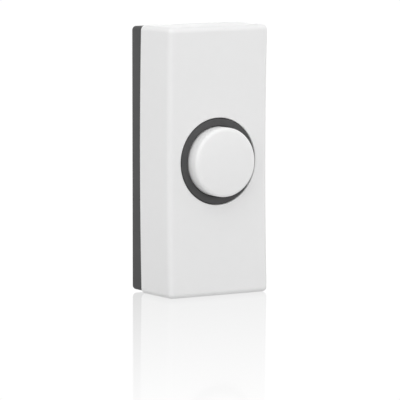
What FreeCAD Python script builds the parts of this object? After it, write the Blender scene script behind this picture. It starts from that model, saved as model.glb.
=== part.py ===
import FreeCAD, Part
import math
import os

# A wired bell push: a white clip-on front cover over a dark back plate, with a round push button
# in a dark collar, and a two-contact switch with screw terminals behind it.
#
# Millimetres, +Z up. The wall is the plane y = 0 and everything faces out of it, towards -Y.
# The origin is the centre of the back face. Stations along the depth are written as distances
# out of the wall, and the helpers below turn them into coordinates.

V = FreeCAD.Vector
OUT = V(0, -1, 0)

# ---- Front cover -------------------------------------------------------------------------------
COVER_WIDTH = 34.4
COVER_HEIGHT = 80.0
COVER_DEPTH = 16.6  # rear edge to front face, at the top and bottom ends
COVER_WALL = 2.0
COVER_ROUND = 1.5  # outer edges and corners
CAVITY_ROUND = 0.8
HOLE_ROUND = 0.3  # front edge of the hole for the collar
REAR_ROUND = 0.2  # outer edge of the rim that meets the back plate
FACE_HOLLOW = 0.85  # the front face is this much nearer the wall at mid-height than at its ends
SEAT_HOLLOW = 0.75  # the same for the rear edge, and for the back plate's seat under it

# ---- Back plate --------------------------------------------------------------------------------
PLATE_RIM = 6.1  # visible height of the rim, at the ends
PLATE_INSET = 0.5  # rim to cover, all round
PLATE_ROUND = 1.3
PLATE_BACK_ROUND = 0.5
SEAT_ROUND = 0.25
PLATE_FLOOR = 2.2
SEAT_GAP = 0.1  # shadow line between the rim and the cover
LIP_TO_GUIDE = 0.1  # the lip stands up inside the cover, and ends just short of the guide plate
LIP_WALL = 1.4
LIP_GAP = 0.2
LIP_ROUND = 0.8

# ---- Locating ribs on the lip, which run in channels in the cover's side walls -----------------
RIB_WIDTH = 3.0
RIB_PROUD = 0.7
RIB_GAP = 0.2
RIB_FROM_END = 12.0  # from the lip's end to the rib's middle

# ---- Pry slot in the bottom rim ----------------------------------------------------------------
PRY_WIDTH = 8.0
PRY_HEIGHT = 1.3
PRY_DEPTH = 1.6

# ---- Push button -------------------------------------------------------------------------------
BUTTON_RADIUS = 10.3
BUTTON_PROUD = 5.0  # crown above the cover's face
BUTTON_CROWN = 0.65
BUTTON_ROUND = 1.1
BUTTON_TRAVEL = 2.0
OVERTRAVEL = 0.1  # the rest of the travel once the contacts have met
CAP_WALL = 1.3
CAP_FRONT = 1.9
PLUNGER_GAP = 0.1  # plunger inside the cap
PLUNGER_WALL = 1.2
PLUNGER_WEB = 1.2
BEAD_PROUD = 0.3  # snap bead that holds the cap on the plunger
BEAD_WIDTH = 0.8
FLANGE_THICK = 1.3
FLANGE_LIP = 1.05  # how far the flange reaches behind the collar
FLANGE_REST_GAP = 0.1
STEM_RADIUS = 2.0
KEY_WIDTH = 2.2
KEY_PROUD = 0.8
KEY_GAP = 0.2

# ---- Collar and guide plate --------------------------------------------------------------------
BUTTON_GAP = 0.2
COLLAR_RING = 2.25  # width of the dark ring round the button
COLLAR_GAP = 0.2  # collar to the cover's hole
COLLAR_ROUND = 0.3
COLLAR_WEB = 1.5
COLLAR_BEHIND = 0.65  # collar's shoulder behind the cover's inner face
FLANGE_GAP = 0.3
BODY_WALL = 1.7
GUIDE_THICK = 1.6
GUIDE_FROM_LEAF = 0.55
GUIDE_TUBE_RISE = 2.4
GUIDE_TUBE_WALL = 1.2
STEM_GAP = 0.1
EAR_RADIUS = 2.7
EAR_FROM_BODY = 3.0
EAR_THICK = 1.8
PEG_RADIUS = 1.2
PEG_GAP = 0.15

# ---- Contacts and terminals --------------------------------------------------------------------
STRIP_THICK = 0.5
LEAF_THICK = 0.3
STRIP_WIDTH = 3.4
STRIP_FROM_POST = 0.64
CONTACT_FROM_WALL = 4.6  # underside of both contact strips
LEAF_PLAY = 0.2  # stem to leaf, with the button out
LEAF_RISE_START = 1.2  # the leaf starts to rise this far above its foot
DOME_RADIUS = 1.2
DOME_HEIGHT = 0.35
PAD_HALF = 2.2
RIVET_RADIUS = 1.4
RIVET_HEIGHT = 0.6
RIVET_SHANK = 0.8
RIVET_TAIL = 1.2
TERMINAL_FROM_BODY = 8.4  # terminal's axis below the collar's body
TERMINAL_FROM_SIDE = 1.2
TERMINAL_BOSS_RADIUS = 3.6
INSERT_RADIUS = 2.8
INSERT_FLOOR = 0.8  # plastic left behind each insert
SCREW_RADIUS = 1.7
SCREW_GAP = 0.05
SCREW_TIP_GAP = 0.8
HOLE_GAP = 0.2
WASHER_HALF = 3.3
WASHER_THICK = 0.9
HEAD_RADIUS = 2.9
HEAD_HEIGHT = 2.0
HEAD_ROUND = 0.5
SLOT_WIDTH = 0.8
SLOT_DEPTH = 1.0

# ---- Screws that hold the collar ---------------------------------------------------------------
COLLAR_SCREW_RADIUS = 1.1
COLLAR_SCREW_PILOT = 1.0
COLLAR_SCREW_LENGTH = 8.0
COLLAR_HEAD_RADIUS = 2.2
COLLAR_HEAD_HEIGHT = 1.6
RECESS_RADIUS = 1.0
RECESS_DEPTH = 1.0

# ---- Return spring -----------------------------------------------------------------------------
SPRING_RADIUS = 4.7
SPRING_WIRE = 0.35
SPRING_TURNS = 6
SPRING_SIDES = 8  # flats round the wire, whose section has the round wire's area

# ---- Holes to the wall -------------------------------------------------------------------------
WALL_HOLE_RADIUS = 2.2
WALL_HOLE_FROM_END = 5.4
WALL_RING_RADIUS = 3.7
WALL_RING_RISE = 0.8
WIRE_HOLE_RADIUS = 2.8
WIRE_HOLE_FROM_BODY = 1.3

# ---- Places that follow from them --------------------------------------------------------------
SEAT_ENDS = PLATE_RIM
SEAT_MIDDLE = SEAT_ENDS - SEAT_HOLLOW
REAR_ENDS = SEAT_ENDS + SEAT_GAP
REAR_MIDDLE = SEAT_MIDDLE + SEAT_GAP
FACE_ENDS = REAR_ENDS + COVER_DEPTH
FACE_MIDDLE = FACE_ENDS - FACE_HOLLOW
INSIDE_WIDTH = COVER_WIDTH - 2 * COVER_WALL
INSIDE_HEIGHT = COVER_HEIGHT - 2 * COVER_WALL
LIP_WIDTH = INSIDE_WIDTH - 2 * LIP_GAP
LIP_HEIGHT = INSIDE_HEIGHT - 2 * LIP_GAP
TRAY_WIDTH = LIP_WIDTH - 2 * LIP_WALL
TRAY_HEIGHT = LIP_HEIGHT - 2 * LIP_WALL

COLLAR_BORE = BUTTON_RADIUS + BUTTON_GAP
COLLAR_OUTER = COLLAR_BORE + COLLAR_RING
HOLE_RADIUS = COLLAR_OUTER + COLLAR_GAP
FLANGE_RADIUS = COLLAR_BORE + FLANGE_LIP
BODY_BORE = FLANGE_RADIUS + FLANGE_GAP
BODY_RADIUS = BODY_BORE + BODY_WALL
EAR_CENTRE = BODY_RADIUS + EAR_FROM_BODY
EAR_OFFSET = EAR_CENTRE * math.sin(math.pi / 4)

SHOULDER = FACE_MIDDLE - COVER_WALL - COLLAR_BEHIND
WEB_BACK = SHOULDER - COLLAR_WEB
FLANGE_FRONT = WEB_BACK - FLANGE_REST_GAP
FLANGE_BACK = FLANGE_FRONT - FLANGE_THICK
BUTTON_TIP = FACE_MIDDLE + BUTTON_PROUD
CAP_INSIDE = BUTTON_TIP - CAP_FRONT
CAP_BORE = BUTTON_RADIUS - CAP_WALL
PLUNGER_RADIUS = CAP_BORE - PLUNGER_GAP
PLUNGER_FRONT = CAP_INSIDE - BUTTON_CROWN - PLUNGER_GAP
SPRING_FRONT = PLUNGER_FRONT - PLUNGER_WEB
BEAD_FROM_WALL = (FLANGE_FRONT + PLUNGER_FRONT) / 2
STRIP_FRONT = CONTACT_FROM_WALL + STRIP_THICK
RIVET_FRONT = STRIP_FRONT + RIVET_HEIGHT
CONTACT_GAP = BUTTON_TRAVEL - LEAF_PLAY - OVERTRAVEL
LEAF_BACK = RIVET_FRONT + CONTACT_GAP + DOME_HEIGHT
LEAF_FRONT = LEAF_BACK + LEAF_THICK
STEM_END = LEAF_FRONT + LEAF_PLAY
GUIDE_BACK = LEAF_FRONT + GUIDE_FROM_LEAF
GUIDE_FRONT = GUIDE_BACK + GUIDE_THICK
EAR_FRONT = GUIDE_FRONT + EAR_THICK
LIP_ENDS = GUIDE_BACK - LIP_TO_GUIDE
LIP_MIDDLE = LIP_ENDS - SEAT_HOLLOW

TERMINAL_X = TRAY_WIDTH / 2 - TERMINAL_FROM_SIDE - TERMINAL_BOSS_RADIUS
TERMINAL_Z = -(BODY_RADIUS + TERMINAL_FROM_BODY)
STRIP_OUTER = EAR_OFFSET - EAR_RADIUS - STRIP_FROM_POST
STRIP_INNER = STRIP_OUTER - STRIP_WIDTH
FOOT_TOP = TERMINAL_Z + TERMINAL_BOSS_RADIUS
FOOT_BOTTOM = TERMINAL_Z - TERMINAL_BOSS_RADIUS
WALL_HOLE_Z = TRAY_HEIGHT / 2 - WALL_HOLE_FROM_END
WIRE_HOLE_Z = -(BODY_RADIUS + WIRE_HOLE_FROM_BODY + WIRE_HOLE_RADIUS)


# ---- Helpers -----------------------------------------------------------------------------------
def rod(radius, near, far, x=0.0, z=0.0):
    """A round bar that stands out of the wall, between two distances from it."""
    return Part.makeCylinder(radius, far - near, V(x, -near, z), OUT)


def tube(radius, bore, near, far, x=0.0, z=0.0):
    """A round bar with a hole down its middle."""
    return rod(radius, near, far, x, z).cut(rod(bore, near - 1, far + 1, x, z))


def block(x_low, x_high, near, far, z_low, z_high):
    """A box between two distances from the wall."""
    return Part.makeBox(x_high - x_low, far - near, z_high - z_low, V(x_low, -far, z_low))


def long_edge(half_height, ends, middle):
    """One long side of a bowed outline: an arc through its middle, or a line where it is flat."""
    low = V(0, -ends, -half_height)
    high = V(0, -ends, half_height)
    if ends == middle:
        return Part.LineSegment(low, high).toShape()
    return Part.Arc(low, V(0, -middle, 0), high).toShape()


def bowed_block(width, height, near, far):
    """A block with bowed front and back. near and far are (at the ends, at mid-height)."""
    half = height / 2
    sides = [
        long_edge(half, *near),
        Part.LineSegment(V(0, -near[0], half), V(0, -far[0], half)).toShape(),
        long_edge(half, *far),
        Part.LineSegment(V(0, -far[0], -half), V(0, -near[0], -half)).toShape(),
    ]
    outline = Part.Wire(Part.__sortEdges__(sides))
    solid = Part.Face(outline).extrude(V(width, 0, 0))
    solid.translate(V(-width / 2, 0, 0))
    return solid


def spun(points):
    """A solid turned about the button's axis, from (radius, distance out of the wall) points."""
    corners = [V(radius, -out, 0) for radius, out in points]
    face = Part.Face(Part.makePolygon(corners + corners[:1]))
    return face.revolve(V(0, 0, 0), V(0, 1, 0), 360)


def round_edges(solid, radius, wanted):
    """The solid with each edge that wanted() picks rounded."""
    return solid.makeFillet(radius, [edge for edge in solid.Edges if wanted(edge.BoundBox)])


def corners_only(box):
    return box.XLength < 0.01 and box.ZLength < 0.01


def joined(shapes):
    solid = shapes[0]
    for shape in shapes[1:]:
        solid = solid.fuse(shape)
    return solid.removeSplitter()


def without(solid, cuts):
    for cut in cuts:
        solid = solid.cut(cut)
    return solid


def save(name, shape):
    if not shape.isValid() or len(shape.Solids) != 1:
        raise ValueError(name + " is not one valid solid")
    shape.Solids[0].exportStep("parts/" + name + ".step")
    print(name, round(shape.Volume, 1), "mm3")


# ---- Front cover -------------------------------------------------------------------------------
def rib_places():
    """Middle of each locating rib, as (side, height)."""
    height = LIP_HEIGHT / 2 - RIB_FROM_END
    return [(side, z) for side in (-1, 1) for z in (-height, height)]


def rib_channel(side, z):
    reach = LIP_WIDTH / 2 + RIB_PROUD + RIB_GAP
    low, high = sorted((side * (INSIDE_WIDTH / 2 - 1), side * reach))
    half = RIB_WIDTH / 2 + RIB_GAP
    return block(low, high, 0, LIP_ENDS + RIB_GAP, z - half, z + half)


def hole_front_only(box):
    """Picks the edge where the hole for the collar meets the cover's face."""
    across = HOLE_RADIUS + 0.1
    return box.YMax < -(FACE_MIDDLE - 0.01) and -across < box.XMin and box.XMax < across


def front_cover():
    shell = bowed_block(COVER_WIDTH, COVER_HEIGHT, (REAR_ENDS, REAR_MIDDLE), (FACE_ENDS, FACE_MIDDLE))
    shell = round_edges(shell, COVER_ROUND, lambda box: box.YMin < -(REAR_ENDS + 1))
    shell = round_edges(shell, REAR_ROUND, lambda box: box.YMin > -(REAR_ENDS + 0.01))
    inside = (FACE_ENDS - COVER_WALL, FACE_MIDDLE - COVER_WALL)
    cavity = bowed_block(INSIDE_WIDTH, INSIDE_HEIGHT, (0, 0), inside)
    cavity = round_edges(cavity, CAVITY_ROUND, lambda box: box.YMin < -1)
    hole = rod(HOLE_RADIUS, FACE_MIDDLE - COVER_WALL - 1, FACE_ENDS + 1)
    shell = round_edges(shell.cut(hole), HOLE_ROUND, hole_front_only)
    return without(shell, [cavity] + [rib_channel(side, z) for side, z in rib_places()])


# ---- Back plate --------------------------------------------------------------------------------
def ear_places():
    """The collar's four ears, as (x, z, has a screw)."""
    signs = [(-1, 1, True), (1, -1, True), (1, 1, False), (-1, -1, False)]
    return [(x * EAR_OFFSET, z * EAR_OFFSET, screwed) for x, z, screwed in signs]


def plate_shell():
    rim = bowed_block(
        COVER_WIDTH - 2 * PLATE_INSET, COVER_HEIGHT - 2 * PLATE_INSET, (0, 0), (SEAT_ENDS, SEAT_MIDDLE)
    )
    rim = round_edges(rim, PLATE_ROUND, corners_only)
    rim = round_edges(rim, PLATE_BACK_ROUND, lambda box: box.YMin > -0.01)
    rim = round_edges(rim, SEAT_ROUND, lambda box: box.YMax < -(SEAT_MIDDLE - 0.01))
    floor = (PLATE_FLOOR, PLATE_FLOOR)
    lip = bowed_block(LIP_WIDTH, LIP_HEIGHT, floor, (LIP_ENDS, LIP_MIDDLE))
    lip = round_edges(lip, LIP_ROUND, corners_only)
    tray = bowed_block(TRAY_WIDTH, TRAY_HEIGHT, floor, (LIP_ENDS + 1, LIP_ENDS + 1))
    return rim.fuse(lip).cut(tray)


def locating_rib(side, z):
    low, high = sorted((side * (LIP_WIDTH / 2 - 1), side * (LIP_WIDTH / 2 + RIB_PROUD)))
    return block(low, high, SEAT_MIDDLE, LIP_MIDDLE, z - RIB_WIDTH / 2, z + RIB_WIDTH / 2)


def ear_post(x, z, screwed):
    post = rod(EAR_RADIUS, PLATE_FLOOR, GUIDE_BACK, x, z)
    if screwed:
        return post
    return post.fuse(rod(PEG_RADIUS, GUIDE_BACK, EAR_FRONT, x, z))


def contact_rails():
    """Ledges that carry the two contact strips clear of the floor."""
    depth = (PLATE_FLOOR, CONTACT_FROM_WALL)
    return [
        block(-STRIP_OUTER, -STRIP_INNER, *depth, TERMINAL_Z, PAD_HALF),
        block(-STRIP_OUTER, PAD_HALF, *depth, -PAD_HALF, PAD_HALF),
        block(STRIP_INNER, STRIP_OUTER, *depth, TERMINAL_Z, FOOT_TOP + LEAF_RISE_START),
    ]


def plate_holes():
    pockets = [rod(INSERT_RADIUS, INSERT_FLOOR, CONTACT_FROM_WALL + 1, side * TERMINAL_X, TERMINAL_Z)
               for side in (-1, 1)]
    wall_holes = [rod(WALL_HOLE_RADIUS, -1, PLATE_FLOOR + WALL_RING_RISE + 1, 0, side * WALL_HOLE_Z)
                  for side in (-1, 1)]
    pilots = [rod(COLLAR_SCREW_PILOT, EAR_FRONT - COLLAR_SCREW_LENGTH - 1, GUIDE_BACK + 1, x, z)
              for x, z, screwed in ear_places() if screwed]
    wire_hole = rod(WIRE_HOLE_RADIUS, -1, PLATE_FLOOR + 1, 0, WIRE_HOLE_Z)
    tail = rod(RIVET_RADIUS, CONTACT_FROM_WALL - RIVET_TAIL, CONTACT_FROM_WALL + 1)
    bottom = -(COVER_HEIGHT / 2 - PLATE_INSET)
    pry_slot = block(-PRY_WIDTH / 2, PRY_WIDTH / 2, SEAT_ENDS - PRY_HEIGHT, SEAT_ENDS + 1, bottom - 1,
                     bottom + PRY_DEPTH)
    return pockets + wall_holes + pilots + [wire_hole, tail, pry_slot]


def back_plate():
    rings = [rod(WALL_RING_RADIUS, PLATE_FLOOR, PLATE_FLOOR + WALL_RING_RISE, 0, side * WALL_HOLE_Z)
             for side in (-1, 1)]
    bosses = [rod(TERMINAL_BOSS_RADIUS, PLATE_FLOOR, CONTACT_FROM_WALL, side * TERMINAL_X, TERMINAL_Z)
              for side in (-1, 1)]
    ribs = [locating_rib(side, z) for side, z in rib_places()]
    posts = [ear_post(*place) for place in ear_places()]
    whole = joined([plate_shell()] + rings + bosses + ribs + posts + contact_rails())
    return without(whole, plate_holes())


# ---- Collar and guide plate --------------------------------------------------------------------
def ears(near, far, screw_hole):
    """Four ears in the corners round the button, each with a hole for its screw or peg."""
    shapes = []
    for x, z, screwed in ear_places():
        shapes.append(rod(EAR_RADIUS, near, far, x, z))
        shapes.append(ear_bridge(x, z, near, far))
    holes = [rod(screw_hole if screwed else PEG_RADIUS + PEG_GAP, near - 1, far + 1, x, z)
             for x, z, screwed in ear_places()]
    return shapes, holes


def ear_bridge(x, z, near, far):
    """The web that joins an ear to the round body."""
    web = block(0, EAR_CENTRE, near, far, -EAR_RADIUS, EAR_RADIUS)
    web.rotate(V(0, 0, 0), V(0, -1, 0), math.degrees(math.atan2(z, x)))
    return web


def button_collar():
    shapes, holes = ears(GUIDE_FRONT, EAR_FRONT, COLLAR_SCREW_RADIUS + HOLE_GAP)
    body = rod(BODY_RADIUS, GUIDE_FRONT, SHOULDER)
    ring = rod(COLLAR_OUTER, SHOULDER, FACE_MIDDLE)
    whole = joined([body, ring] + shapes)
    whole = without(whole, [rod(BODY_BORE, GUIDE_FRONT - 1, WEB_BACK), rod(COLLAR_BORE, 0, FACE_ENDS)])
    keys = [key_rib(side) for side in (-1, 1)]
    collar = without(joined([whole] + keys), holes)
    return round_edges(collar, COLLAR_ROUND, lambda box: box.YMax < -(FACE_MIDDLE - 0.01))


def key_rib(side):
    """A rib in the collar's bore that stops the button from turning."""
    low, high = sorted((side * (BODY_BORE - KEY_PROUD), side * (BODY_BORE + KEY_PROUD)))
    return block(low, high, GUIDE_FRONT, WEB_BACK, -KEY_WIDTH / 2, KEY_WIDTH / 2)


def guide_plate():
    shapes, holes = ears(GUIDE_BACK, GUIDE_FRONT, COLLAR_SCREW_RADIUS + HOLE_GAP)
    disc = rod(BODY_RADIUS, GUIDE_BACK, GUIDE_FRONT)
    guide = rod(STEM_RADIUS + STEM_GAP + GUIDE_TUBE_WALL, GUIDE_FRONT, GUIDE_FRONT + GUIDE_TUBE_RISE)
    bore = rod(STEM_RADIUS + STEM_GAP, 0, FACE_ENDS)
    return without(joined([disc, guide] + shapes), [bore] + holes)


# ---- Push button -------------------------------------------------------------------------------
def crowned_rod(radius, near, tip):
    """A round bar whose front is a shallow dome with a rounded edge."""
    shoulder = tip - BUTTON_CROWN
    dome_radius = (radius ** 2 + BUTTON_CROWN ** 2) / (2 * BUTTON_CROWN)
    bar = rod(radius, near, tip + 1)
    bar = bar.common(Part.makeSphere(dome_radius, V(0, dome_radius - tip, 0), OUT))
    return round_edges(bar, BUTTON_ROUND, lambda box: box.YMax < -(shoulder - 0.01) and box.YLength < 0.1)


def button_cap():
    cap = crowned_rod(BUTTON_RADIUS, FLANGE_FRONT, BUTTON_TIP)
    inside = rod(CAP_BORE, FLANGE_FRONT - 1, CAP_INSIDE - BUTTON_CROWN)
    groove_half = BEAD_WIDTH / 2 + PLUNGER_GAP
    groove = rod(CAP_BORE + BEAD_PROUD, BEAD_FROM_WALL - groove_half, BEAD_FROM_WALL + groove_half)
    return without(cap, [inside, groove])


def button_plunger():
    inner = PLUNGER_RADIUS - PLUNGER_WALL
    bead = PLUNGER_RADIUS + BEAD_PROUD
    half = BEAD_WIDTH / 2
    profile = [
        (0, STEM_END), (STEM_RADIUS, STEM_END), (STEM_RADIUS, SPRING_FRONT), (inner, SPRING_FRONT),
        (inner, FLANGE_BACK), (FLANGE_RADIUS, FLANGE_BACK), (FLANGE_RADIUS, FLANGE_FRONT),
        (PLUNGER_RADIUS, FLANGE_FRONT), (PLUNGER_RADIUS, BEAD_FROM_WALL - half),
        (bead, BEAD_FROM_WALL - half / 2), (bead, BEAD_FROM_WALL + half / 2),
        (PLUNGER_RADIUS, BEAD_FROM_WALL + half), (PLUNGER_RADIUS, PLUNGER_FRONT), (0, PLUNGER_FRONT),
    ]
    plunger = spun(profile)
    reach = BODY_BORE - KEY_PROUD - KEY_GAP
    half_key = KEY_WIDTH / 2 + KEY_GAP
    for side in (-1, 1):
        low, high = sorted((side * reach, side * (FLANGE_RADIUS + 1)))
        plunger = plunger.cut(block(low, high, FLANGE_BACK - 1, FLANGE_FRONT + 1, -half_key, half_key))
    return plunger


def wire_section():
    """The spring wire's section at the start of the helix."""
    turn = 2 * math.pi / SPRING_SIDES
    reach = SPRING_WIRE * math.sqrt(turn / math.sin(turn))
    corners = []
    for side in range(SPRING_SIDES):
        angle = (side + 0.5) * turn
        corners.append(V(SPRING_RADIUS + reach * math.cos(angle), 0, reach * math.sin(angle)))
    return Part.makePolygon(corners + corners[:1])


def return_spring():
    """A coil round the stem, from the guide plate to the plunger's web."""
    length = SPRING_FRONT - GUIDE_FRONT - 2 * SPRING_WIRE
    helix = Part.makeHelix(length / SPRING_TURNS, length, SPRING_RADIUS)
    coil = Part.Wire(helix).makePipeShell([wire_section()], True, True)
    coil.rotate(V(0, 0, 0), V(1, 0, 0), 90)
    coil.translate(V(0, -(GUIDE_FRONT + SPRING_WIRE), 0))
    return coil


# ---- Switch contacts ---------------------------------------------------------------------------
def contact_foot(side, thick):
    """The square end under a terminal screw, with the screw's hole."""
    half = TERMINAL_BOSS_RADIUS
    reach = min(STRIP_INNER, TERMINAL_X - half)
    low, high = sorted((side * reach, side * (TERMINAL_X + half)))
    foot = block(low, high, CONTACT_FROM_WALL, CONTACT_FROM_WALL + thick, FOOT_BOTTOM, FOOT_TOP)
    return foot.cut(rod(SCREW_RADIUS + HOLE_GAP, 0, FACE_ENDS, side * TERMINAL_X, TERMINAL_Z))


def fixed_contact():
    depth = (CONTACT_FROM_WALL, STRIP_FRONT)
    run = block(-STRIP_OUTER, -STRIP_INNER, *depth, FOOT_TOP - 1, PAD_HALF)
    pad = block(-STRIP_OUTER, PAD_HALF, *depth, -PAD_HALF, PAD_HALF)
    whole = joined([contact_foot(-1, STRIP_THICK), run, pad])
    return whole.cut(rod(RIVET_SHANK, 0, FACE_ENDS))


def fixed_contact_rivet():
    head = rod(RIVET_RADIUS, STRIP_FRONT, RIVET_FRONT)
    head = round_edges(head, RIVET_HEIGHT / 2, lambda box: box.YMax < -(RIVET_FRONT - 0.01))
    shank = rod(RIVET_SHANK, CONTACT_FROM_WALL, STRIP_FRONT)
    tail = rod(RIVET_SHANK + HOLE_GAP, CONTACT_FROM_WALL - RIVET_TAIL / 2, CONTACT_FROM_WALL)
    return joined([tail, shank, head])


def leaf_arm():
    """The springy arm: flat at its foot, then rising to its flat end."""
    start = FOOT_TOP + LEAF_RISE_START
    low, high = CONTACT_FROM_WALL, LEAF_BACK
    outline = [
        (low, FOOT_TOP - 1), (low, start), (high, -PAD_HALF), (high, PAD_HALF),
        (high + LEAF_THICK, PAD_HALF), (high + LEAF_THICK, -PAD_HALF), (low + LEAF_THICK, start),
        (low + LEAF_THICK, FOOT_TOP - 1),
    ]
    corners = [V(STRIP_INNER, -out, z) for out, z in outline]
    return Part.Face(Part.makePolygon(corners + corners[:1])).extrude(V(STRIP_WIDTH, 0, 0))


def moving_contact():
    pad = block(-PAD_HALF, STRIP_OUTER, LEAF_BACK, LEAF_FRONT, -PAD_HALF, PAD_HALF)
    dome = rod(DOME_RADIUS, LEAF_BACK - DOME_HEIGHT, LEAF_BACK)
    dome = round_edges(dome, DOME_HEIGHT / 2, lambda box: box.YMin > -(LEAF_BACK - DOME_HEIGHT + 0.01))
    return joined([contact_foot(1, LEAF_THICK), leaf_arm(), pad, dome])


# ---- Screws, washers and inserts ---------------------------------------------------------------
def terminal_insert(side):
    bore = SCREW_RADIUS + SCREW_GAP
    return tube(INSERT_RADIUS, bore, INSERT_FLOOR, CONTACT_FROM_WALL, side * TERMINAL_X, TERMINAL_Z)


def strip_front(side):
    """Front of the strip under each terminal: the leaf on the right, the thicker strip on the left."""
    return CONTACT_FROM_WALL + (LEAF_THICK if side > 0 else STRIP_THICK)


def terminal_washer(side):
    x = side * TERMINAL_X
    near = strip_front(side)
    plate = block(x - WASHER_HALF, x + WASHER_HALF, near, near + WASHER_THICK,
                  TERMINAL_Z - WASHER_HALF, TERMINAL_Z + WASHER_HALF)
    plate = round_edges(plate, 2 * HOLE_GAP, corners_only)
    return plate.cut(rod(SCREW_RADIUS + HOLE_GAP, 0, FACE_ENDS, x, TERMINAL_Z))


def terminal_screw(side):
    x = side * TERMINAL_X
    seat = strip_front(side) + WASHER_THICK
    top = seat + HEAD_HEIGHT
    head = rod(HEAD_RADIUS, seat, top, x, TERMINAL_Z)
    head = round_edges(head, HEAD_ROUND, lambda box: box.YMax < -(top - 0.01))
    shank = rod(SCREW_RADIUS, INSERT_FLOOR + SCREW_TIP_GAP, seat, x, TERMINAL_Z)
    slot = block(x - HEAD_RADIUS - 1, x + HEAD_RADIUS + 1, top - SLOT_DEPTH, top + 1,
                 TERMINAL_Z - SLOT_WIDTH / 2, TERMINAL_Z + SLOT_WIDTH / 2)
    return joined([head, shank]).cut(slot)


def collar_screw(x, z):
    top = EAR_FRONT + COLLAR_HEAD_HEIGHT
    head = rod(COLLAR_HEAD_RADIUS, EAR_FRONT, top, x, z)
    head = round_edges(head, HEAD_ROUND, lambda box: box.YMax < -(top - 0.01))
    shank = rod(COLLAR_SCREW_RADIUS, EAR_FRONT - COLLAR_SCREW_LENGTH, EAR_FRONT, x, z)
    screw = joined([head, shank])
    for turn in (45, 135):
        arm = block(-RECESS_RADIUS, RECESS_RADIUS, top - RECESS_DEPTH, top + 1,
                    -SLOT_WIDTH / 2, SLOT_WIDTH / 2)
        arm.rotate(V(0, 0, 0), V(0, -1, 0), turn)
        arm.translate(V(x, 0, z))
        screw = screw.cut(arm)
    return screw


# ---- Every piece -------------------------------------------------------------------------------
def main():
    os.makedirs("parts", exist_ok=True)
    pieces = {
        "front_cover": front_cover(),
        "back_plate": back_plate(),
        "button_collar": button_collar(),
        "guide_plate": guide_plate(),
        "button_cap": button_cap(),
        "button_plunger": button_plunger(),
        "return_spring": return_spring(),
        "moving_contact": moving_contact(),
        "fixed_contact": fixed_contact(),
        "fixed_contact_rivet": fixed_contact_rivet(),
    }
    for side, word in ((-1, "left"), (1, "right")):
        pieces["terminal_insert_" + word] = terminal_insert(side)
        pieces["terminal_washer_" + word] = terminal_washer(side)
        pieces["terminal_screw_" + word] = terminal_screw(side)
    for x, z, screwed in ear_places():
        if screwed:
            pieces["collar_screw_" + ("upper" if z > 0 else "lower")] = collar_screw(x, z)
    for name, shape in pieces.items():
        save(name, shape)


main()
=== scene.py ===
# %% [markdown]
# # A wired bell push
#
# This lesson dresses a small object that was drawn in CAD: a bell push for a front door. It has a
# white cover, a dark back plate, and a round white button in a dark collar. Inside are a spring,
# two contact strips and two screw terminals. The CAD pieces are the frame. They are already in
# place and at their real size, in metres, so nothing here moves or resizes them. What is left to
# do is the part that a buyer sees: light, finish, and the small round edges, threads and coils
# that a plain CAD model leaves out.

# %% Load the frame
import math
import bmesh
import bpy
from mathutils import Matrix, Vector


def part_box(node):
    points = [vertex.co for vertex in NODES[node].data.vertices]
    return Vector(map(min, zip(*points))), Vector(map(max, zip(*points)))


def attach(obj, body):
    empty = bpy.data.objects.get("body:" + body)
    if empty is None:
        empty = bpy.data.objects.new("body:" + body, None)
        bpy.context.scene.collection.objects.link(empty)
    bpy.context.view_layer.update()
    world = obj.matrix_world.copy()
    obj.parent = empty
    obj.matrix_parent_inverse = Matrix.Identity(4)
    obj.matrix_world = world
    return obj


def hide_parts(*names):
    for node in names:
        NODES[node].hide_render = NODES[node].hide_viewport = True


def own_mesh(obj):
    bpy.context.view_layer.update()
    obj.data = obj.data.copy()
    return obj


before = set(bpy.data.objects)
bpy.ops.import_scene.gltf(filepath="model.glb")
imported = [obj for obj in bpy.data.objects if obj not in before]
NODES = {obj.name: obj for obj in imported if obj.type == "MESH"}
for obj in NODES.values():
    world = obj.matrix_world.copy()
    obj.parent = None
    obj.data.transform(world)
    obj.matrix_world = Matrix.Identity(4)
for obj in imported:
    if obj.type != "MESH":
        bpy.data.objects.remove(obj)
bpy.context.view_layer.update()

MM = 0.001

# %% [markdown]
# ## Where the eye is
#
# A small thing shot from close by looks swollen, because its near parts are so much nearer than
# its far ones. Product pictures avoid that with a long lens from far away, which keeps upright
# edges almost parallel. So the camera here stands more than a metre off with a very long lens.
# It is placed by three plain facts: which way it looks at the front face, how far off it is, and
# which point of the object's surroundings sits in the middle of the picture.

# %% Camera
VIEW_TURN = math.radians(-32.1)
VIEW_RISE = math.radians(5.7)
VIEW_DISTANCE = 1.095
LENS_MM = 333.2
AIM_RIGHT = -5.42 * MM
AIM_UP = -11.44 * MM

cover_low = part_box("front_cover")[0]
collar_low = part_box("button_collar")[0]
face_centre = Vector((0, collar_low.y, 0))


def make_camera():
    back = Vector((math.sin(VIEW_TURN) * math.cos(VIEW_RISE),
                   -math.cos(VIEW_TURN) * math.cos(VIEW_RISE),
                   math.sin(VIEW_RISE)))
    place = face_centre + back * VIEW_DISTANCE
    right = Vector((0, 0, 1)).cross(back).normalized()
    up = back.cross(right)
    aim = face_centre + right * AIM_RIGHT + up * AIM_UP
    camera = bpy.data.objects.new("camera", bpy.data.cameras.new("camera"))
    camera.data.lens = LENS_MM
    camera.location = place
    camera.rotation_mode = "QUATERNION"
    camera.rotation_quaternion = (aim - place).to_track_quat("-Z", "Y")
    bpy.context.scene.collection.objects.link(camera)
    bpy.context.scene.camera = camera
    return camera


camera = make_camera()
print("camera at", [round(value, 3) for value in camera.location], "with a lens of", LENS_MM, "mm")

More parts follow.
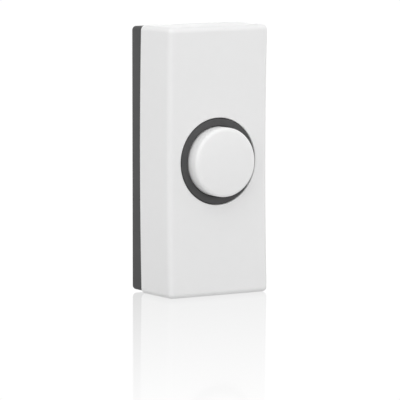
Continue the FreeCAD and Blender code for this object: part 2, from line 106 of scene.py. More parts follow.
# %% [markdown]
# ## A white room
#
# White plastic on white needs light from everywhere, or its faces go grey. A real product tent is
# a white box, a little brighter on one side, and that small difference is what separates the
# front of the object from its side. So the sky here is white in every direction, plus a slight
# lean: the dot product of the direction with a short vector that points to the brighter side.
#
# The wall of the tent behind the object is lit more strongly than the rest, so that the
# background comes out as pure white. It also decides what the table mirrors round the object.
# Looked at directly, the sky is plain white from every side: a Light Path node gives 1 for what is
# looked at and 0 for light on its way to something else. The view transform is Standard, so that
# white stays white.

# %% World
SKY_LEVEL = 0.9
SKY_LEAN = (-0.18, -0.29, -0.05)
BACKDROP_SIDE = (0.53, 0.85, 0.0)
BACKDROP_EXTRA = 1.0
WHITE_FAR = 1.02


def facing(tree, places, side):
    """How much a direction of the sky points to one side."""
    dot = tree.nodes.new("ShaderNodeVectorMath")
    dot.operation = "DOT_PRODUCT"
    dot.inputs[1].default_value = side
    tree.links.new(places.outputs["Generated"], dot.inputs[0])
    return dot.outputs["Value"]


def make_world():
    world = bpy.data.worlds.new("white_room")
    world.use_nodes = True
    tree = world.node_tree
    background = tree.nodes["Background"]
    background.inputs["Color"].default_value = (1, 1, 1, 1)
    places = tree.nodes.new("ShaderNodeTexCoord")
    lean = facing(tree, places, SKY_LEAN)
    backdrop = tree.nodes.new("ShaderNodeMapRange")
    backdrop.interpolation_type = "SMOOTHSTEP"
    backdrop.inputs["From Min"].default_value = 0.9
    backdrop.inputs["From Max"].default_value = 0.96
    backdrop.inputs["To Min"].default_value = SKY_LEVEL
    backdrop.inputs["To Max"].default_value = SKY_LEVEL + BACKDROP_EXTRA
    tree.links.new(facing(tree, places, BACKDROP_SIDE), backdrop.inputs["Value"])
    total = tree.nodes.new("ShaderNodeMath")
    total.operation = "ADD"
    tree.links.new(lean, total.inputs[0])
    tree.links.new(backdrop.outputs["Result"], total.inputs[1])
    looked_at = tree.nodes.new("ShaderNodeLightPath")
    strength = tree.nodes.new("ShaderNodeMix")
    strength.inputs["B"].default_value = WHITE_FAR
    tree.links.new(looked_at.outputs["Is Camera Ray"], strength.inputs["Factor"])
    tree.links.new(total.outputs["Value"], strength.inputs["A"])
    tree.links.new(strength.outputs["Result"], background.inputs["Strength"])
    bpy.context.scene.world = world
    bpy.context.scene.view_settings.view_transform = "Standard"


make_world()
print("sky leans by", SKY_LEAN)

# %% [markdown]
# ## A soft panel
#
# An even sky leaves no shadow at all, and the dark line under a button is a shadow. One square
# panel above and to the left of the object throws it. It is large for its distance, so the edge
# of the shadow stays soft.

# %% Panel
PANEL_PLACE = (-0.25, -0.45, 0.7)
PANEL_SIZE = 0.35
PANEL_WATTS = 0.4


def make_panel(name, place, aim, size, watts):
    """A square soft light that faces a point."""
    lamp = bpy.data.lights.new(name, "AREA")
    lamp.shape = "SQUARE"
    lamp.size = size
    lamp.energy = watts
    panel = bpy.data.objects.new(name, lamp)
    panel.location = place
    panel.rotation_mode = "QUATERNION"
    panel.rotation_quaternion = (Vector(aim) - Vector(place)).to_track_quat("-Z", "Y")
    bpy.context.scene.collection.objects.link(panel)
    return panel


make_panel("overhead_panel", PANEL_PLACE, (0, -0.01, 0), PANEL_SIZE, PANEL_WATTS)
print("panel at", PANEL_PLACE)

# %% [markdown]
# ## The table
#
# The object stands on white acrylic. Seen by the eye, it is part its own white and part a mirror
# of what stands on it. How much of the mirror is mixed in comes from Fresnel, which grows as the
# eye gets lower, and it fades out away from the object. The table glows white, and its glow is
# made a little grey near the object: painted shade round the object's foot. The bright backdrop
# that it mirrors makes up for that everywhere else.
#
# As a light for the object, the table is weaker than the sky, and weakest close to the object.
# That is painted shade too: the glow is turned down near the object, where the object would keep
# the sky off a real table. The Light Path node tells looking and lighting apart here too.

# %% Table
TABLE_HALF = 6.0
GLOSS_REACH = 0.27
GLOSS_SHARE = 0.45
GLOSS_ROUGHNESS = 0.06
# Painted shade: the table's glow is turned down near the object, both as seen and as a light.
WHITE_NEAR_PAINTED_SHADE = 0.9
LIGHT_NEAR_PAINTED_SHADE = 0.52
LIGHT_FAR = 0.72
LIGHT_REACH = 0.2


def near_to_far(tree, places, reach, near, far):
    """A value that goes evenly from near, at the object's foot, to far, reach metres away."""
    size = tree.nodes.new("ShaderNodeMapping")
    size.inputs["Scale"].default_value = (1 / reach,) * 3
    spot = tree.nodes.new("ShaderNodeTexGradient")
    spot.gradient_type = "SPHERICAL"
    spread = tree.nodes.new("ShaderNodeMapRange")
    spread.inputs["To Min"].default_value = far
    spread.inputs["To Max"].default_value = near
    tree.links.new(places.outputs["Object"], size.inputs["Vector"])
    tree.links.new(size.outputs["Vector"], spot.inputs["Vector"])
    tree.links.new(spot.outputs["Fac"], spread.inputs["Value"])
    return spread.outputs["Result"]


def table_finish():
    finish = bpy.data.materials.new("lit_acrylic")
    finish.use_nodes = True
    tree = finish.node_tree
    tree.nodes.clear()
    link = tree.links.new
    output = tree.nodes.new("ShaderNodeOutputMaterial")
    mix = tree.nodes.new("ShaderNodeMixShader")
    glow = tree.nodes.new("ShaderNodeEmission")
    gloss = tree.nodes.new("ShaderNodeBsdfGlossy")
    gloss.inputs["Color"].default_value = (1, 1, 1, 1)
    gloss.inputs["Roughness"].default_value = GLOSS_ROUGHNESS
    fresnel = tree.nodes.new("ShaderNodeFresnel")
    fresnel.inputs["IOR"].default_value = 1.45
    places = tree.nodes.new("ShaderNodeTexCoord")
    amount = tree.nodes.new("ShaderNodeMath")
    amount.operation = "MULTIPLY"
    link(near_to_far(tree, places, GLOSS_REACH, GLOSS_SHARE, 0.0), amount.inputs[0])
    link(fresnel.outputs["Fac"], amount.inputs[1])
    looked_at = tree.nodes.new("ShaderNodeLightPath")
    strength = tree.nodes.new("ShaderNodeMix")
    link(looked_at.outputs["Is Camera Ray"], strength.inputs["Factor"])
    # Painted shade: as a light, the table's glow is weakest near the object.
    link(near_to_far(tree, places, LIGHT_REACH, LIGHT_NEAR_PAINTED_SHADE, LIGHT_FAR), strength.inputs["A"])
    # Painted shade: as seen, the table's white is a little grey near the object.
    link(near_to_far(tree, places, GLOSS_REACH, WHITE_NEAR_PAINTED_SHADE, WHITE_FAR), strength.inputs["B"])
    link(strength.outputs["Result"], glow.inputs["Strength"])
    link(amount.outputs["Value"], mix.inputs["Fac"])
    link(glow.outputs["Emission"], mix.inputs[1])
    link(gloss.outputs["BSDF"], mix.inputs[2])
    link(mix.outputs["Shader"], output.inputs["Surface"])
    return finish


def make_table():
    corners = [(x * TABLE_HALF, y * TABLE_HALF, 0) for x, y in ((-1, -1), (1, -1), (1, 1), (-1, 1))]
    mesh = bpy.data.meshes.new("table")
    mesh.from_pydata(corners, [], [(0, 1, 2, 3)])
    table = bpy.data.objects.new("table", mesh)
    table.location = (0, 0, cover_low.z)
    bpy.context.scene.collection.objects.link(table)
    mesh.materials.append(table_finish())
    return table


make_table()
print("table top at", round(cover_low.z / MM, 2), "mm")

# %% [markdown]
# ## Moulded plastic
#
# Moulded plastic is never quite even. The mould's own texture leaves a grain about a tenth of a
# millimetre across, and slow flow marks change the gloss and the tone a little over some
# millimetres. All of these are noise textures: the fine one drives a bump, the slow ones drive
# roughness and colour. They are placed by the object's own coordinates, in metres, so a grain
# size is a real size.
#
# White plastic also lets light in a little way. The light spreads under the surface and comes out
# nearby, which softens the dark line where two faces meet. That is subsurface scattering, and its
# reach here is half a millimetre to a millimetre. Dark plastic soaks the light up, so it has none.

# %% Noise that changes with place
NOISE_LOW = 0.3
NOISE_HIGH = 0.7


def grain_bump(tree, size, depth, strength):
    """A fine bump from noise. size and depth are in metres."""
    places = tree.nodes.new("ShaderNodeTexCoord")
    noise = tree.nodes.new("ShaderNodeTexNoise")
    noise.inputs["Scale"].default_value = 1 / size
    noise.inputs["Detail"].default_value = 2.0
    bump = tree.nodes.new("ShaderNodeBump")
    bump.inputs["Distance"].default_value = depth
    bump.inputs["Strength"].default_value = strength
    tree.links.new(places.outputs["Object"], noise.inputs["Vector"])
    tree.links.new(noise.outputs["Fac"], bump.inputs["Height"])
    return places, bump


def slow_change(tree, places, size, low, high):
    """A value that wanders between low and high over a distance of about size, in metres."""
    noise = tree.nodes.new("ShaderNodeTexNoise")
    noise.inputs["Scale"].default_value = 1 / size
    noise.inputs["Detail"].default_value = 3.0
    spread = tree.nodes.new("ShaderNodeMapRange")
    spread.inputs["From Min"].default_value = NOISE_LOW
    spread.inputs["From Max"].default_value = NOISE_HIGH
    spread.inputs["To Min"].default_value = low
    spread.inputs["To Max"].default_value = high
    tree.links.new(places.outputs["Object"], noise.inputs["Vector"])
    tree.links.new(noise.outputs["Fac"], spread.inputs["Value"])
    return spread.outputs["Result"]


# %% Plastic finishes
PLASTIC_IOR = 1.5
GRAIN_STRENGTH = 0.6
FLOW_SIZE = 6 * MM
MOTTLE_SIZE = 3 * MM
GLOSS_SPREAD = 0.04


def moulded_plastic(name, colour, roughness, grain, depth, mottle, soak=0.0):
    """mottle is how much the tone wanders, as a share. soak is how far light spreads inside."""
    finish = bpy.data.materials.new(name)
    finish.use_nodes = True
    tree = finish.node_tree
    shader = tree.nodes["Principled BSDF"]
    shader.inputs["IOR"].default_value = PLASTIC_IOR
    if soak:
        shader.inputs["Subsurface Weight"].default_value = 1.0
        shader.inputs["Subsurface Radius"].default_value = (1, 1, 1)
        shader.inputs["Subsurface Scale"].default_value = soak
    places, bump = grain_bump(tree, grain, depth, GRAIN_STRENGTH)
    rough = slow_change(tree, places, FLOW_SIZE, roughness - GLOSS_SPREAD, roughness + GLOSS_SPREAD)
    tone = tree.nodes.new("ShaderNodeMix")
    tone.data_type = "RGBA"
    tone.inputs["A"].default_value = (*[part * (1 - mottle) for part in colour], 1)
    tone.inputs["B"].default_value = (*[part * (1 + mottle) for part in colour], 1)
    tree.links.new(slow_change(tree, places, MOTTLE_SIZE, 0.0, 1.0), tone.inputs["Factor"])
    tree.links.new(tone.outputs["Result"], shader.inputs["Base Color"])
    tree.links.new(rough, shader.inputs["Roughness"])
    tree.links.new(bump.outputs["Normal"], shader.inputs["Normal"])
    return finish


cover_white = moulded_plastic(
    "cover_white", (0.89, 0.89, 0.89), 0.42, 0.12 * MM, 0.002 * MM, 0.004, 0.5 * MM)
button_white = moulded_plastic(
    "button_white", (0.9, 0.9, 0.9), 0.5, 0.1 * MM, 0.001 * MM, 0.004, 1.0 * MM)
plate_grey = moulded_plastic(
    "plate_grey", (0.06, 0.06, 0.061), 0.5, 0.16 * MM, 0.006 * MM, 0.08)
guide_grey = moulded_plastic(
    "guide_grey", (0.085, 0.086, 0.09), 0.45, 0.14 * MM, 0.004 * MM, 0.08)
plunger_cream = moulded_plastic(
    "plunger_cream", (0.74, 0.73, 0.69), 0.4, 0.14 * MM, 0.003 * MM, 0.02)
print("materials so far:", len(bpy.data.materials))

# %% [markdown]
# ## Metals
#
# Rolled strip and zinc plate are both metal, so their metallic value is 1 and their colour is the
# colour of their reflections. What tells them apart is the surface. Rolled strip has fine streaks
# along its length, so its noise is stretched along one axis. Zinc plate is an even, slightly
# cloudy satin, so its noise isn't stretched at all.

# %% Metal finishes


def streaked_metal(name, colour, roughness, stretch):
    """stretch is the length of the streaks over their width, along x, y and z."""
    finish = bpy.data.materials.new(name)
    finish.use_nodes = True
    tree = finish.node_tree
    shader = tree.nodes["Principled BSDF"]
    shader.inputs["Metallic"].default_value = 1.0
    places = tree.nodes.new("ShaderNodeTexCoord")
    size = tree.nodes.new("ShaderNodeMapping")
    size.inputs["Scale"].default_value = [1 / part for part in stretch]
    noise = tree.nodes.new("ShaderNodeTexNoise")
    noise.inputs["Scale"].default_value = 1 / (0.08 * MM)
    noise.inputs["Detail"].default_value = 3.0
    bump = tree.nodes.new("ShaderNodeBump")
    bump.inputs["Distance"].default_value = 0.002 * MM
    bump.inputs["Strength"].default_value = 0.5
    tone = tree.nodes.new("ShaderNodeMix")
    tone.data_type = "RGBA"
    tone.inputs["A"].default_value = (*[part * 0.85 for part in colour], 1)
    tone.inputs["B"].default_value = (*colour, 1)
    tree.links.new(slow_change(tree, places, 1.5 * MM, 0.0, 1.0), tone.inputs["Factor"])
    tree.links.new(tone.outputs["Result"], shader.inputs["Base Color"])
    rough = slow_change(tree, places, 2 * MM, roughness - 0.06, roughness + 0.06)
    tree.links.new(places.outputs["Object"], size.inputs["Vector"])
    tree.links.new(size.outputs["Vector"], noise.inputs["Vector"])
    tree.links.new(noise.outputs["Fac"], bump.inputs["Height"])
    tree.links.new(bump.outputs["Normal"], shader.inputs["Normal"])
    tree.links.new(rough, shader.inputs["Roughness"])
    return finish


strip_brass = streaked_metal("strip_brass", (0.76, 0.55, 0.25), 0.28, (1, 1, 12))
leaf_bronze = streaked_metal("leaf_bronze", (0.72, 0.43, 0.26), 0.25, (1, 1, 12))
turned_brass = streaked_metal("turned_brass", (0.76, 0.57, 0.28), 0.3, (1, 6, 1))
contact_silver = streaked_metal("contact_silver", (0.88, 0.87, 0.83), 0.22, (1, 1, 1))
zinc_plate = streaked_metal("zinc_plate", (0.66, 0.66, 0.65), 0.34, (1, 1, 1))
spring_wire = streaked_metal("spring_wire", (0.6, 0.6, 0.6), 0.26, (1, 1, 1))
print("materials so far:", len(bpy.data.materials))

# %% [markdown]
# ## Tools for making pieces
#
# Most of the small pieces are made in one of three ways: turned on a lathe, punched from sheet,
# or moulded. A few short helpers do the same in mesh code. Modifiers such as Boolean and Bevel
# are applied at once, so that each piece ends as one plain closed mesh.

# %% Helpers for meshes


def to_piece(name, work):
    """Turns a bmesh into an object in the scene."""
    bmesh.ops.recalc_face_normals(work, faces=work.faces)
    mesh = bpy.data.meshes.new(name)
    work.to_mesh(mesh)
    work.free()
    piece = bpy.data.objects.new(name, mesh)
    bpy.context.scene.collection.objects.link(piece)
    return piece


def apply_steps(piece):
    """Makes the result of the piece's modifiers its real mesh."""
    graph = bpy.context.evaluated_depsgraph_get()
    mesh = bpy.data.meshes.new_from_object(piece.evaluated_get(graph))
    piece.modifiers.clear()
    piece.data = mesh


def combine(piece, tool, how):
    """Cuts the tool out of the piece (DIFFERENCE) or adds it (UNION)."""
    step = piece.modifiers.new("combine", "BOOLEAN")
    step.operation = how
    step.solver = "EXACT"
    step.object = tool
    apply_steps(piece)
    bpy.data.objects.remove(tool)


def soften(piece, width, angle=40):
    """Rounds every edge that is sharper than the angle."""
    step = piece.modifiers.new("soften", "BEVEL")
    step.width = width
    step.segments = 2
    step.limit_method = "ANGLE"
    step.angle_limit = math.radians(angle)
    apply_steps(piece)


# %% [markdown]
# ## Handing a piece over
#
# Each new piece does four things at the end: it takes its finish, shades smoothly except across
# real corners, rides on the body that carries it, and stands in for its CAD node.

# %% Finish and mount a piece


def hand_over(piece, finish, body, node):
    piece.data.materials.clear()
    piece.data.materials.append(finish)
    piece.data.shade_smooth()
    piece.data.set_sharp_from_angle(angle=math.radians(32))
    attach(piece, body)
    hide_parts(node)
    print(piece.name, len(piece.data.polygons), "faces")
    return piece


def keep_node(node, finish):
    """A CAD node whose shape is already right only needs its finish."""
    NODES[node].data.materials.clear()
    NODES[node].data.materials.append(finish)


# %% [markdown]
# ## The cover
#
# The cover has all its round edges in CAD, because they set the outline of the whole object. It
# stays as it is and only takes its finish.

# %% Cover
keep_node("front_cover", cover_white)
print("kept from CAD: front_cover")

# %% [markdown]
# ## Soft edges on the dark mouldings
#
# No moulded edge is perfectly sharp, and a sharp edge gives a render away because it catches no
# light. The plate, the collar, the guide plate and the plunger keep their CAD shape, with every
# corner rounded by a tenth of a millimetre. CAD meshes come as thin triangles. Rounding works
# better on whole flat faces, so the flat triangles are merged first. Only triangles in the same
# plane within a fifth of a degree merge, so that the bowed faces keep their bow.

# %% Mouldings with soft edges
WELD = 0.002 * MM
SAME_PLANE = math.radians(0.2)


def softened_copy(node, width, finish, body):
    work = bmesh.new()
    work.from_mesh(NODES[node].data)
    bmesh.ops.remove_doubles(work, verts=work.verts, dist=WELD)
    bmesh.ops.dissolve_limit(work, angle_limit=SAME_PLANE, verts=work.verts, edges=work.edges)
    piece = to_piece(node + "_soft", work)
    soften(piece, width)
    return hand_over(piece, finish, body, node)


softened_copy("back_plate", 0.1 * MM, plate_grey, "base")
softened_copy("button_collar", 0.1 * MM, plate_grey, "base")
softened_copy("guide_plate", 0.12 * MM, guide_grey, "base")
softened_copy("button_plunger", 0.1 * MM, plunger_cream, "button")

# %% [markdown]
# ## Turned pieces
#
# A lathe makes a screw from its profile: a list of radii along its length, spun round. The thread
# is the same idea with one change. Its radius also depends on the angle, so that the ridge climbs
# by one pitch in each turn. The thread fades in and out over its first and last turn, as a cut
# thread does.

# %% Lathe
LATHE_SIDES = 96


def turned(name, rings, x, z):
    """A closed shape from (radius, distance out of the wall) rings.

    A radius may be a function of the angle."""
    work = bmesh.new()
    loops = []
    for radius, out in rings:
        loop = []
        for step in range(LATHE_SIDES):
            angle = math.tau * step / LATHE_SIDES
            reach = radius(angle) if callable(radius) else radius
            loop.append(work.verts.new((x + reach * math.cos(angle), -out, z + reach * math.sin(angle))))
        loops.append(loop)
    for first, second in zip(loops, loops[1:]):
        for step in range(LATHE_SIDES):
            work.faces.new((first[step], first[step - 1], second[step - 1], second[step]))
    for loop in (loops[0], loops[-1]):
        work.faces.new(loop)
    return to_piece(name, work)


def thread_rings(outer, depth, pitch, near, far):
    """Rings of a threaded stretch between two distances out of the wall."""
    rows = round((far - near) / pitch * 8)
    rings = []
    for row in range(rows + 1):
        out = near + (far - near) * row / rows
        fade = min(1.0, (out - near) / pitch, (far - out) / pitch)

        def radius(angle, out=out, fade=fade):
            turn = (out / pitch - angle / math.tau) % 1.0
            return outer - depth + depth * fade * (1 - abs(2 * turn - 1))
        rings.append((radius, out))
    return rings


def head_rings(shank, head, seat, top, rounding):
    """A screw head: a flat underside, straight sides, a rounded edge and a faint dome."""
    rings = [(shank, seat), (head - 0.1 * MM, seat), (head, seat + 0.1 * MM)]
    for step in range(7):
        angle = math.radians(90 * step / 6)
        rings.append((head - rounding * (1 - math.cos(angle)),
                      top - rounding * (1 - math.sin(angle)) - 0.1 * MM))
    rings += [(head * 0.5, top - 0.03 * MM), (head * 0.12, top)]
    return rings


print("lathe ready with", LATHE_SIDES, "sides")

# %% [markdown]
# ## The button's cap
#
# The cap is turned too: a shallow dome, a rounded edge, a straight side, and a hollow inside with
# a groove that snaps over the plunger. On a large smooth dome the facets of a CAD mesh would show
# as a faint star in the middle, and evenly spaced rings don't have that fault. The dome is part
# of a very large sphere, and the rounded edge is an arc that touches both the dome and the side.

# %% Button cap
CROWN = 0.65 * MM
EDGE_ROUND = 1.1 * MM
CAP_WALL = 1.3 * MM
CAP_FRONT = 1.9 * MM
GROOVE_DEPTH = 0.3 * MM
GROOVE_NEAR = 2.82 * MM
GROOVE_FAR = 3.83 * MM


def button_cap():
    low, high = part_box("button_cap")
    radius, near, tip = high.x, -high.y, -low.y
    bore = radius - CAP_WALL
    ball = (radius ** 2 + CROWN ** 2) / (2 * CROWN)
    edge_centre = radius - EDGE_ROUND
    edge_out = tip - ball + math.sqrt((ball - EDGE_ROUND) ** 2 - edge_centre ** 2)
    last = math.atan2(edge_out - (tip - ball), edge_centre)
    ceiling = tip - CAP_FRONT - CROWN
    rings = [(0.3 * MM, ceiling), (bore, ceiling)]
    rings += [(bore, near + GROOVE_FAR), (bore + GROOVE_DEPTH, near + GROOVE_FAR)]
    rings += [(bore + GROOVE_DEPTH, near + GROOVE_NEAR), (bore, near + GROOVE_NEAR)]
    rings += [(bore, near), (radius, near)]
    for step in range(13):
        angle = last * step / 12
        rings.append((edge_centre + EDGE_ROUND * math.cos(angle),
                      edge_out + EDGE_ROUND * math.sin(angle)))
    start = rings[-1][0]
    for step in range(1, 20):
        reach = start + (0.3 * MM - start) * step / 19
        rings.append((reach, tip - ball + math.sqrt(ball ** 2 - reach ** 2)))
    piece = turned("button_cap_turned", rings, 0, 0)
    return hand_over(piece, button_white, "button", "button_cap")


button_cap()

# %% [markdown]
# ## Screws
#
# The two terminal screws have a straight slot, which a bell fitter's small screwdriver fits. The
# two collar screws are smaller, with a cross recess and a coarse thread that bites into plastic.
# A slot or a recess is cut with a block that is a little narrower at its bottom than at its top.

# %% Cutting tools for screw heads


def wedge_bar(name, length, width, taper, near, far, x, z, turn):
    """A bar along the head's face, narrower by taper on each side at its near end."""
    work = bmesh.new()
    corners = []
    for out, less in ((near, taper), (far, 0.0)):
        for along, across in ((-1, -1), (1, -1), (1, 1), (-1, 1)):
            point = Vector((along * (length / 2 - less), across * (width / 2 - less)))
            point.rotate(Matrix.Rotation(turn, 2))
            corners.append(work.verts.new((x + point.x, -out, z + point.y)))
    work.faces.new(corners[:4])
    work.faces.new(corners[4:])
    for side in range(4):
        after = (side + 1) % 4
        work.faces.new((corners[side], corners[after], corners[after + 4], corners[side + 4]))
    return to_piece(name, work)


# %% Terminal screws
CLEAR = 1 * MM
SCREW_RADIUS = 1.7 * MM
SCREW_THREAD = 0.28 * MM
SCREW_PITCH = 0.6 * MM
SCREW_HEAD_HEIGHT = 2.0 * MM
SCREW_HEAD_ROUND = 0.45 * MM
SLOT_WIDTH = 0.8 * MM
SLOT_DEPTH = 1.0 * MM


def screw_places(node):
    """Centre, head radius, and tip and top as distances out of the wall."""
    low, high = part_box(node)
    return (low.x + high.x) / 2, (low.z + high.z) / 2, (high.x - low.x) / 2, -high.y, -low.y


def threaded_screw(name, node, radius, depth, pitch, head_height, rounding):
    x, z, head, tip, top = screw_places(node)
    seat = top - head_height
    rings = [(radius * 0.55, tip), (radius - depth, tip + 0.4 * MM)]
    rings += thread_rings(radius, depth, pitch, tip + 0.4 * MM, seat - 0.3 * MM)
    rings += head_rings(radius - depth, head, seat, top, rounding)
    return turned(name, rings, x, z)


def terminal_screw(side):
    node = "terminal_screw_" + side
    piece = threaded_screw(node + "_cut", node, SCREW_RADIUS, SCREW_THREAD, SCREW_PITCH,
                           SCREW_HEAD_HEIGHT, SCREW_HEAD_ROUND)
    x, z, head, tip, top = screw_places(node)
    slot = wedge_bar("slot", 2 * head + CLEAR, SLOT_WIDTH, 0.03 * MM, top - SLOT_DEPTH, top + CLEAR,
                     x, z, 0.0)
    combine(piece, slot, "DIFFERENCE")
    return hand_over(piece, zinc_plate, side + "_screw", node)


for side in ("left", "right"):
    terminal_screw(side)

# %% Collar screws
COLLAR_SCREW_RADIUS = 1.1 * MM
COLLAR_THREAD = 0.22 * MM
COLLAR_PITCH = 0.9 * MM
COLLAR_HEAD_HEIGHT = 1.6 * MM
COLLAR_HEAD_ROUND = 0.5 * MM
RECESS_DEPTH = 1.1 * MM
RECESS_LENGTH = 2.4 * MM
RECESS_WIDTH = 0.62 * MM


def collar_screw(which):
    node = "collar_screw_" + which
    piece = threaded_screw(node + "_cut", node, COLLAR_SCREW_RADIUS, COLLAR_THREAD, COLLAR_PITCH,
                           COLLAR_HEAD_HEIGHT, COLLAR_HEAD_ROUND)
    x, z, head, tip, top = screw_places(node)
    for turn in (45, 135):
        arm = wedge_bar("recess", RECESS_LENGTH, RECESS_WIDTH, 0.18 * MM, top - RECESS_DEPTH,
                        top + 0.2 * MM, x, z, math.radians(turn))
        combine(piece, arm, "DIFFERENCE")
    return hand_over(piece, zinc_plate, "base", node)


for which in ("upper", "lower"):
    collar_screw(which)

# %% [markdown]
# ## Inserts and rivet
#
# A brass insert is pressed into warm plastic, and rows of small ridges round its outside stop it
# from turning. The rivet is a plain silver contact with a low dome, so that the two contacts
# always meet at one point.

# %% Terminal inserts
KNURL_RIDGES = 24
KNURL_DEPTH = 0.12 * MM
INSERT_BORE = 1.76 * MM


def terminal_insert(side):
    node = "terminal_insert_" + side
    x, z, outer, near, far = screw_places(node)

    def ridged(angle):
        return outer - KNURL_DEPTH * (0.5 - 0.5 * math.cos(KNURL_RIDGES * angle))

    waist = outer - 2 * KNURL_DEPTH
    middle = (near + far) / 2
    half_groove = 0.35 * MM
    rings = [(waist, near), (ridged, near + 0.2 * MM), (ridged, middle - half_groove)]
    rings += [(waist, middle - half_groove), (waist, middle + half_groove)]
    rings += [(ridged, middle + half_groove), (ridged, far - 0.2 * MM), (waist, far)]
    piece = turned(node + "_knurled", rings, x, z)
    bore = turned("bore", [(INSERT_BORE, near - CLEAR), (INSERT_BORE, far + CLEAR)], x, z)
    combine(piece, bore, "DIFFERENCE")
    return hand_over(piece, turned_brass, "base", node)


for side in ("left", "right"):
    terminal_insert(side)

# %% Contact rivet


def contact_rivet():
    x, z, head, near, far = screw_places("fixed_contact_rivet")
    shank = 0.79 * MM
    tail = 0.98 * MM
    strip_near = near + 0.6 * MM
    strip_far = strip_near + 0.5 * MM
    rings = [(tail * 0.7, near), (tail, near + 0.25 * MM), (tail, strip_near), (shank, strip_near)]
    dome_base = strip_far + 0.2 * MM
    rings += [(shank, strip_far), (head, strip_far), (head, dome_base)]
    for angle in (75, 55, 35, 15, 4):
        rings.append((head * math.sin(math.radians(angle)),
                      dome_base + (far - dome_base) * math.cos(math.radians(angle))))
    piece = turned("fixed_contact_rivet_domed", rings, x, z)
    return hand_over(piece, contact_silver, "base", "fixed_contact_rivet")


contact_rivet()

# %% [markdown]
# ## Pieces punched from sheet
#
# The washers and both contact strips start as flat sheet metal. A punch leaves an outline with
# small round corners and any holes, all at once. So a sheet piece here is an outline and its
# holes filled with triangles, pulled out to the sheet's thickness, with the edges softened.

# %% Punch
HOLE_SIDES = 40
SCREW_HOLE = 1.9 * MM


def rounded(corners, radius):
    """An outline with each corner replaced by a short arc. Corners go round in order."""
    points = []
    for index, corner in enumerate(corners):
        here = Vector(corner)
        back = (Vector(corners[index - 1]) - here).normalized()
        onward = (Vector(corners[(index + 1) % len(corners)]) - here).normalized()
        half = math.acos(max(-1.0, min(1.0, back.dot(onward)))) / 2
        centre = here + (back + onward).normalized() * (radius / math.sin(half))
        start = (here + back * (radius / math.tan(half)) - centre).normalized()
        end = (here + onward * (radius / math.tan(half)) - centre).normalized()
        for step in range(6):
            points.append(tuple(centre + start.slerp(end, step / 5) * radius))
    return points


def circle(x, z, radius):
    turns = [math.tau * step / HOLE_SIDES for step in range(HOLE_SIDES)]
    return [(x + radius * math.cos(turn), z + radius * math.sin(turn)) for turn in turns]


def punched(name, outlines, near, thick):
    """A flat plate from its outline and holes, as (x, z) points."""
    work = bmesh.new()
    edges = []
    for outline in outlines:
        ring = [work.verts.new((px, -near, pz)) for px, pz in outline]
        edges += [work.edges.new((ring[index - 1], ring[index])) for index in range(len(ring))]
    filled = bmesh.ops.triangle_fill(work, use_beauty=True, edges=edges, normal=(0, -1, 0))
    faces = [part for part in filled["geom"] if isinstance(part, bmesh.types.BMFace)]
    pulled = bmesh.ops.extrude_face_region(work, geom=faces)
    moved = [part for part in pulled["geom"] if isinstance(part, bmesh.types.BMVert)]
    bmesh.ops.translate(work, verts=moved, vec=(0, -thick, 0))
    return to_piece(name, work)


# %% Clamping washers


def terminal_washer(side):
    node = "terminal_washer_" + side
    low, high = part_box(node)
    x, z = (low.x + high.x) / 2, (low.z + high.z) / 2
    square = rounded([(low.x, low.z), (high.x, low.z), (high.x, high.z), (low.x, high.z)], 0.5 * MM)
    piece = punched(node + "_punched", [square, circle(x, z, SCREW_HOLE)], -high.y, high.y - low.y)
    soften(piece, 0.12 * MM, 60)
    return hand_over(piece, zinc_plate, "base", node)


for side in ("left", "right"):
    terminal_washer(side)

# %% [markdown]
# ## The contact strips
#
# The fixed strip is flat brass: a square foot under the left terminal screw, a narrow run, and an
# end that holds the silver rivet. The moving strip is springy bronze, and its foot lies under the
# right terminal screw. The two outlines mirror each other, so one function draws both.

# %% Outline of a contact strip
RUN_INNER = 4.96 * MM
RUN_WIDTH = 3.4 * MM
FOOT_HEIGHT = 7.2 * MM
PAD_HALF = 2.2 * MM
STRIP_CORNER = 0.4 * MM


def strip_outline(node, side):
    """Foot, run and pad, going round. side is -1 for the left strip and 1 for the right one."""
    low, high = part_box(node)
    foot_far = max(abs(low.x), abs(high.x))
    foot_top = low.z + FOOT_HEIGHT
    corners = [(foot_far, low.z), (RUN_INNER, low.z), (RUN_INNER, -PAD_HALF), (-PAD_HALF, -PAD_HALF),
               (-PAD_HALF, PAD_HALF), (RUN_INNER + RUN_WIDTH, PAD_HALF),
               (RUN_INNER + RUN_WIDTH, foot_top), (foot_far, foot_top)]
    return rounded([(side * x, z) for x, z in corners], STRIP_CORNER)


def strip_holes(side):
    x, z, head, tip, top = screw_places("terminal_screw_" + ("left" if side < 0 else "right"))
    return circle(x, z, SCREW_HOLE)


# %% Fixed contact
RIVET_HOLE = 0.8 * MM


def fixed_contact():
    low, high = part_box("fixed_contact")
    outlines = [strip_outline("fixed_contact", -1), strip_holes(-1), circle(0, 0, RIVET_HOLE)]
    piece = punched("fixed_contact_punched", outlines, -high.y, high.y - low.y)
    soften(piece, 0.08 * MM, 60)
    return hand_over(piece, strip_brass, "base", "fixed_contact")


fixed_contact()

# %% [markdown]
# ## Bending the moving contact
#
# The moving strip is punched flat and bent afterwards, as in a real press. It rises in a straight
# slope between two gentle bends. To bend a flat mesh, it needs edges across it where the bends
# are, so it is first cut across at a row of heights. Then every point is lifted by how far up the
# slope it lies. A small dimple is pressed in the pad last: a dome towards the rivet, and a hollow
# on the other side.

# %% Moving contact
LEAF_THICK = 0.3 * MM
RISE_LOW = -17.15 * MM
RISE_HIGH = -2.2 * MM
BEND_LENGTH = 1.6 * MM
DOME_RADIUS = 1.2 * MM
DOME_HEIGHT = 0.35 * MM


def lift_at(z, rise):
    """How far the strip has risen at a height z: a straight slope with a soft bend at each end."""
    slope = rise / (RISE_HIGH - RISE_LOW - BEND_LENGTH)
    into = z - RISE_LOW
    left = RISE_HIGH - z
    if into <= 0:
        return 0.0
    if left <= 0:
        return rise
    if into < BEND_LENGTH:
        return slope * into ** 2 / (2 * BEND_LENGTH)
    if left < BEND_LENGTH:
        return rise - slope * left ** 2 / (2 * BEND_LENGTH)
    return slope * (into - BEND_LENGTH / 2)


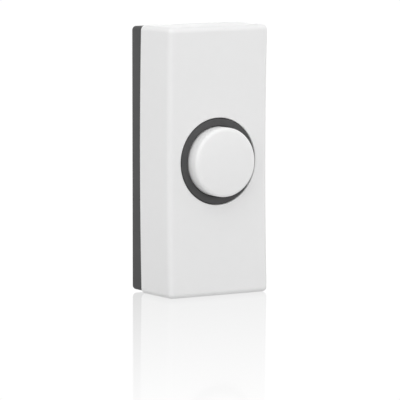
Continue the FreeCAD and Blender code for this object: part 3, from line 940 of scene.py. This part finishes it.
def bend(piece, rise):
    work = bmesh.new()
    work.from_mesh(piece.data)
    steps = [BEND_LENGTH * step / 6 for step in range(7)]
    for height in [RISE_LOW + step for step in steps] + [RISE_HIGH - step for step in steps]:
        parts = list(work.verts) + list(work.edges) + list(work.faces)
        bmesh.ops.bisect_plane(work, geom=parts, plane_co=(0, 0, height), plane_no=(0, 0, 1))
    for vert in work.verts:
        vert.co.y -= lift_at(vert.co.z, rise)
    work.to_mesh(piece.data)
    work.free()


def dome(name, radius, height, base, out):
    """A low dome on the button's axis. out is 1 when it bulges out of the wall and -1 into it."""
    rings = [(radius, base - out * 0.1 * MM)]
    for angle in (90, 75, 60, 45, 30, 15, 4):
        rings.append((radius * math.sin(math.radians(angle)),
                      base + out * height * math.cos(math.radians(angle))))
    return turned(name, rings, 0, 0)


def moving_contact():
    low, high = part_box("moving_contact")
    outlines = [strip_outline("moving_contact", 1), strip_holes(1)]
    piece = punched("moving_contact_bent", outlines, -high.y, LEAF_THICK)
    soften(piece, 0.05 * MM, 60)
    bend(piece, high.y - low.y - LEAF_THICK)
    pad_back = -low.y - LEAF_THICK
    combine(piece, dome("bulge", DOME_RADIUS, DOME_HEIGHT, pad_back, -1), "UNION")
    combine(piece, dome("hollow", 0.8 * DOME_RADIUS, 0.28 * MM, -low.y, -1), "DIFFERENCE")
    return hand_over(piece, leaf_bronze, "base", "moving_contact")


leaf = moving_contact()

# %% [markdown]
# ## The return spring
#
# The coil is one round wire. A helix of even pitch would stand on a point, so a real compression
# spring has closed ends: the first and last turns climb only by the wire's own thickness. Each
# step along the wire gets a small ring of points, set by the radius from the axis and by the
# height, and the rings are joined into a tube.

# %% Return spring
COIL_RADIUS = 4.7 * MM
WIRE_RADIUS = 0.35 * MM
CLOSED_TURNS = 1.0
OPEN_TURNS = 5.5
STEPS_PER_TURN = 48
WIRE_SIDES = 12


def coil_climb(turns, length):
    """How far the wire has climbed after so many turns."""
    end_climb = CLOSED_TURNS * 2.05 * WIRE_RADIUS
    if turns <= CLOSED_TURNS:
        return end_climb * turns / CLOSED_TURNS
    if turns >= CLOSED_TURNS + OPEN_TURNS:
        return length - end_climb * (2 * CLOSED_TURNS + OPEN_TURNS - turns) / CLOSED_TURNS
    share = (turns - CLOSED_TURNS) / OPEN_TURNS
    return end_climb + (length - 2 * end_climb) * share


def return_spring():
    low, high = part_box("return_spring")
    start = -high.y + WIRE_RADIUS
    length = -low.y - WIRE_RADIUS - start
    total = 2 * CLOSED_TURNS + OPEN_TURNS
    work = bmesh.new()
    rings = []
    for step in range(round(total * STEPS_PER_TURN) + 1):
        turns = step / STEPS_PER_TURN
        angle = math.tau * turns
        out = start + coil_climb(turns, length)
        ring = []
        for side in range(WIRE_SIDES):
            around = math.tau * side / WIRE_SIDES
            reach = COIL_RADIUS + WIRE_RADIUS * math.cos(around)
            ring.append(work.verts.new((reach * math.cos(angle), -out - WIRE_RADIUS * math.sin(around),
                                        reach * math.sin(angle))))
        rings.append(ring)
    for first, second in zip(rings, rings[1:]):
        for side in range(WIRE_SIDES):
            work.faces.new((first[side], first[side - 1], second[side - 1], second[side]))
    work.faces.new(rings[0])
    work.faces.new(rings[-1])
    piece = to_piece("return_spring_coil", work)
    return hand_over(piece, spring_wire, "base", "return_spring")


spring = return_spring()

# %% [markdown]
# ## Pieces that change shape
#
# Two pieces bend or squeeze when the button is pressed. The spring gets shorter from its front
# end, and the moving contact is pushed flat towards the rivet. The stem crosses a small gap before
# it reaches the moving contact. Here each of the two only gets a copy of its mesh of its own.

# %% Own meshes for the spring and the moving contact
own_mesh(spring)
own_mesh(leaf)
